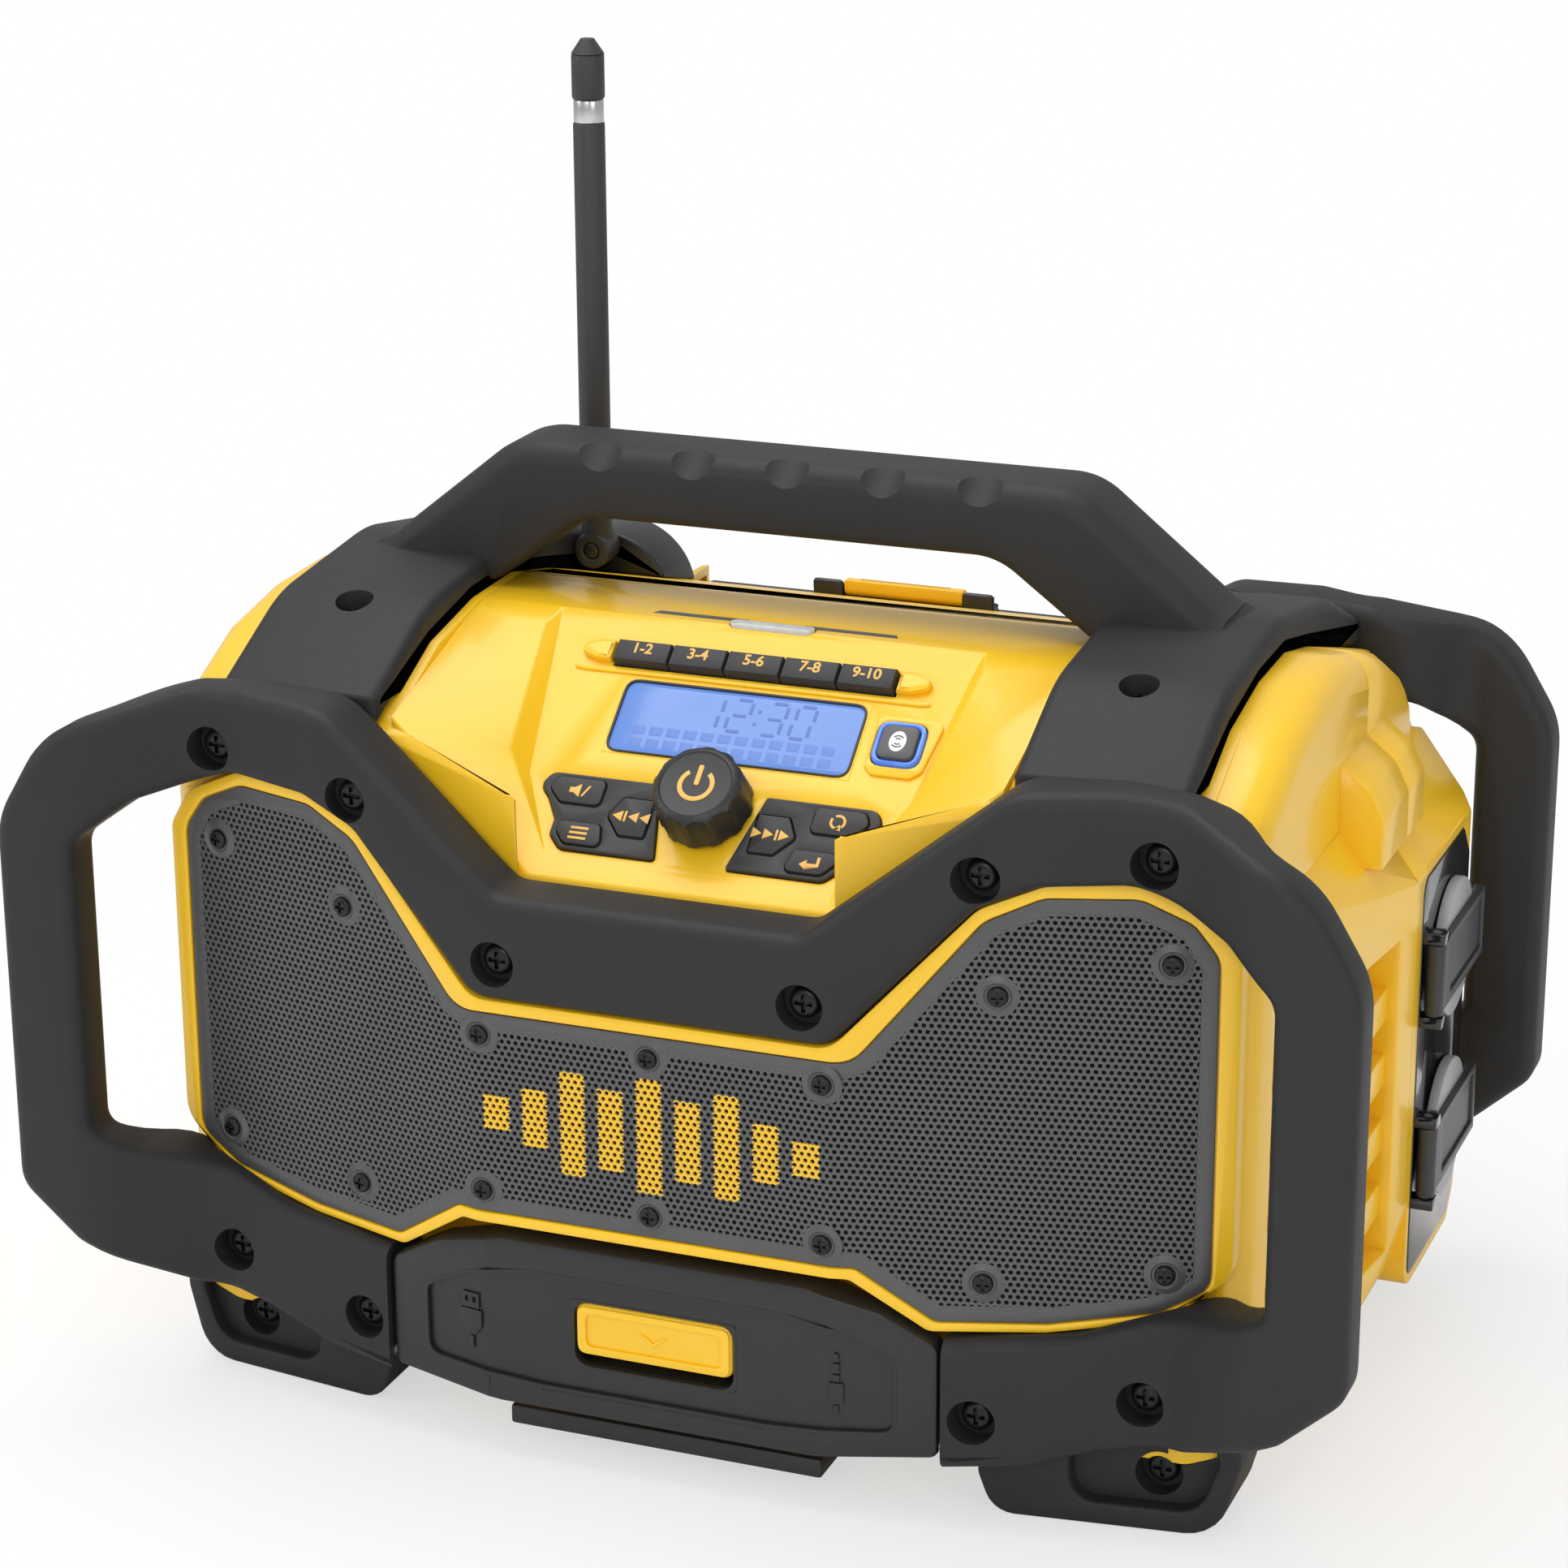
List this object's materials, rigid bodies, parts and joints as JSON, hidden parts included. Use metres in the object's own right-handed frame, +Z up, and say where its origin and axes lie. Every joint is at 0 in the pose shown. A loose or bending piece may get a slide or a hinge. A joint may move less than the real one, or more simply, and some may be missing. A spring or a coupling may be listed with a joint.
{
  "type": "jobsite radio",
  "caption": "Rugged jobsite radio in a rubber roll cage with carry handle, folding antenna, sloped key panel, swept speaker grille, hinged port door, outlet covers and battery door.",
  "frame": {"origin": "on the ground, under the middle of the cage", "axes": "+X to the right of someone facing the front, +Y to the back, +Z up"},
  "size_m": [0.466, 0.2958, 0.443],
  "materials": {
    "yellow_shell": "satin moulded plastic",
    "yellow_trim": "satin moulded plastic",
    "grille_steel": "perforated sheet, satin powder coat",
    "guard_rubber": "fine grained matt rubber",
    "black_plastic": "fine grained plastic",
    "black_gloss": "smooth plastic",
    "key_rubber": "smooth soft rubber",
    "black_screw": "black steel",
    "display_blue": "clear window over a lit blue display",
    "ring_blue": "lit translucent ring",
    "lens_white": "translucent lens",
    "inner_metal": "plain metal",
    "board": "solder mask",
    "speaker_paper": "coated paper",
    "cover_grey": "fine grained plastic",
    "antenna_black": "smooth rubber sleeve",
    "antenna_chrome": "polished"
  },
  "bodies": {
    "body": {"front_shell": "yellow_shell", "rear_shell": "yellow_shell", "control_panel": "yellow_shell", "speaker_grille": "grille_steel", "front_guard": "guard_rubber", "rear_guard": "guard_rubber", "carry_handle": "guard_rubber", "base_plate": "black_plastic", "front_left_foot": "guard_rubber", "front_right_foot": "guard_rubber", "rear_left_foot": "guard_rubber", "rear_right_foot": "guard_rubber", "guard_screws": "black_screw", "grille_screws": "black_screw", "lcd_lens": "display_blue", "lcd_module": "inner_metal", "control_board": "board", "rotary_encoder": "inner_metal", "keypad_mat": "key_rubber", "pairing_ring": "ring_blue", "indicator_lens": "lens_white", "left_speaker_frame": "inner_metal", "left_speaker_cone": "speaker_paper", "right_speaker_frame": "inner_metal", "right_speaker_cone": "speaker_paper", "door_pins": "inner_metal", "usb_socket": "inner_metal", "aux_socket": "black_plastic", "socket_plate": "black_gloss", "upper_socket": "black_plastic", "lower_socket": "black_plastic", "cover_pins": "inner_metal", "antenna_base": "black_plastic", "battery_terminals": "black_plastic", "main_board": "board", "power_supply": "inner_metal", "cord_gland": "black_plastic"},
    "knob_shaft": {"encoder_plunger": "inner_metal"},
    "knob": {"volume_knob": "black_gloss"},
    "mute_button": {"mute_key": "key_rubber"},
    "menu_button": {"menu_key": "key_rubber"},
    "skip_back_button": {"skip_back_key": "key_rubber"},
    "mode_button": {"mode_key": "key_rubber"},
    "enter_button": {"enter_key": "key_rubber"},
    "skip_forward_button": {"skip_forward_key": "key_rubber"},
    "preset_1_button": {"preset_key_1": "key_rubber"},
    "preset_2_button": {"preset_key_2": "key_rubber"},
    "preset_3_button": {"preset_key_3": "key_rubber"},
    "preset_4_button": {"preset_key_4": "key_rubber"},
    "preset_5_button": {"preset_key_5": "key_rubber"},
    "pairing": {"pairing_button": "key_rubber"},
    "door_of_ports": {"port_door": "black_plastic"},
    "latch_of_ports": {"port_latch": "yellow_trim"},
    "upper_cover": {"upper_socket_cover": "cover_grey"},
    "lower_cover": {"lower_socket_cover": "cover_grey"},
    "antenna": {"antenna_mast": "antenna_black", "antenna_collar": "antenna_chrome", "antenna_tip": "antenna_black"},
    "door_of_battery": {"battery_door": "black_plastic"},
    "latch_of_battery": {"battery_latch": "yellow_trim"}
  },
  "joints": [
    {"name": "knob_press", "type": "slide", "parent": "body", "child": "knob_shaft", "axis": [0, 0.6428, -0.766], "range_m": [0, 0.0006], "stiffness_N_per_m": 900, "springref_m": -0.002},
    {"name": "knob_turn", "type": "hinge", "parent": "knob_shaft", "child": "knob", "pos_m": [0, -0.08651, 0.21825], "axis": [0, -0.6428, 0.766], "continuous": true},
    {"name": "mute_press", "type": "slide", "parent": "body", "child": "mute_button", "axis": [0, 0.6428, -0.766], "range_m": [0, 0.0008], "stiffness_N_per_m": 300, "springref_m": -0.002},
    {"name": "menu_press", "type": "slide", "parent": "body", "child": "menu_button", "axis": [0, 0.6428, -0.766], "range_m": [0, 0.0008], "stiffness_N_per_m": 300, "springref_m": -0.002},
    {"name": "skip_back_press", "type": "slide", "parent": "body", "child": "skip_back_button", "axis": [0, 0.6428, -0.766], "range_m": [0, 0.0008], "stiffness_N_per_m": 300, "springref_m": -0.002},
    {"name": "mode_press", "type": "slide", "parent": "body", "child": "mode_button", "axis": [0, 0.6428, -0.766], "range_m": [0, 0.0008], "stiffness_N_per_m": 300, "springref_m": -0.002},
    {"name": "enter_press", "type": "slide", "parent": "body", "child": "enter_button", "axis": [0, 0.6428, -0.766], "range_m": [0, 0.0008], "stiffness_N_per_m": 300, "springref_m": -0.002},
    {"name": "skip_forward_press", "type": "slide", "parent": "body", "child": "skip_forward_button", "axis": [0, 0.6428, -0.766], "range_m": [0, 0.0008], "stiffness_N_per_m": 300, "springref_m": -0.002},
    {"name": "preset_1_press", "type": "slide", "parent": "body", "child": "preset_1_button", "axis": [0, 0.6428, -0.766], "range_m": [0, 0.0008], "stiffness_N_per_m": 300, "springref_m": -0.002},
    {"name": "preset_2_press", "type": "slide", "parent": "body", "child": "preset_2_button", "axis": [0, 0.6428, -0.766], "range_m": [0, 0.0008], "stiffness_N_per_m": 300, "springref_m": -0.002},
    {"name": "preset_3_press", "type": "slide", "parent": "body", "child": "preset_3_button", "axis": [0, 0.6428, -0.766], "range_m": [0, 0.0008], "stiffness_N_per_m": 300, "springref_m": -0.002},
    {"name": "preset_4_press", "type": "slide", "parent": "body", "child": "preset_4_button", "axis": [0, 0.6428, -0.766], "range_m": [0, 0.0008], "stiffness_N_per_m": 300, "springref_m": -0.002},
    {"name": "preset_5_press", "type": "slide", "parent": "body", "child": "preset_5_button", "axis": [0, 0.6428, -0.766], "range_m": [0, 0.0008], "stiffness_N_per_m": 300, "springref_m": -0.002},
    {"name": "pairing_press", "type": "slide", "parent": "body", "child": "pairing", "axis": [0, 0.6428, -0.766], "range_m": [0, 0.0008], "stiffness_N_per_m": 300, "springref_m": -0.002},
    {"name": "port_door_swing", "type": "hinge", "parent": "body", "child": "door_of_ports", "pos_m": [0, -0.13, 0.027], "axis": [1, 0, 0], "range_deg": [0, 100]},
    {"name": "port_latch_slide", "type": "slide", "parent": "door_of_ports", "child": "latch_of_ports", "axis": [0, 0, -1], "range_m": [0, 0.0035], "stiffness_N_per_m": 400, "springref_m": -0.003},
    {"name": "upper_cover_swing", "type": "hinge", "parent": "body", "child": "upper_cover", "pos_m": [0.214, 0.042, 0.142], "axis": [0, 0, -1], "range_deg": [0, 120], "stiffness_Nm_per_rad": 0.03, "springref_deg": -34.38},
    {"name": "lower_cover_swing", "type": "hinge", "parent": "body", "child": "lower_cover", "pos_m": [0.214, 0.042, 0.0745], "axis": [0, 0, -1], "range_deg": [0, 120], "stiffness_Nm_per_rad": 0.03, "springref_deg": -34.38},
    {"name": "antenna_fold", "type": "hinge", "parent": "body", "child": "antenna", "pos_m": [-0.1025, 0.0575, 0.26], "axis": [0, 1, 0], "range_deg": [0, 90]},
    {"name": "battery_door_swing", "type": "hinge", "parent": "body", "child": "door_of_battery", "pos_m": [0, 0.142, 0.09], "axis": [-1, 0, 0], "range_deg": [0, 110]},
    {"name": "battery_latch_swing", "type": "hinge", "parent": "door_of_battery", "child": "latch_of_battery", "pos_m": [0, 0.102, 0.2414], "axis": [-1, 0, 0], "range_deg": [0, 100]}
  ]
}
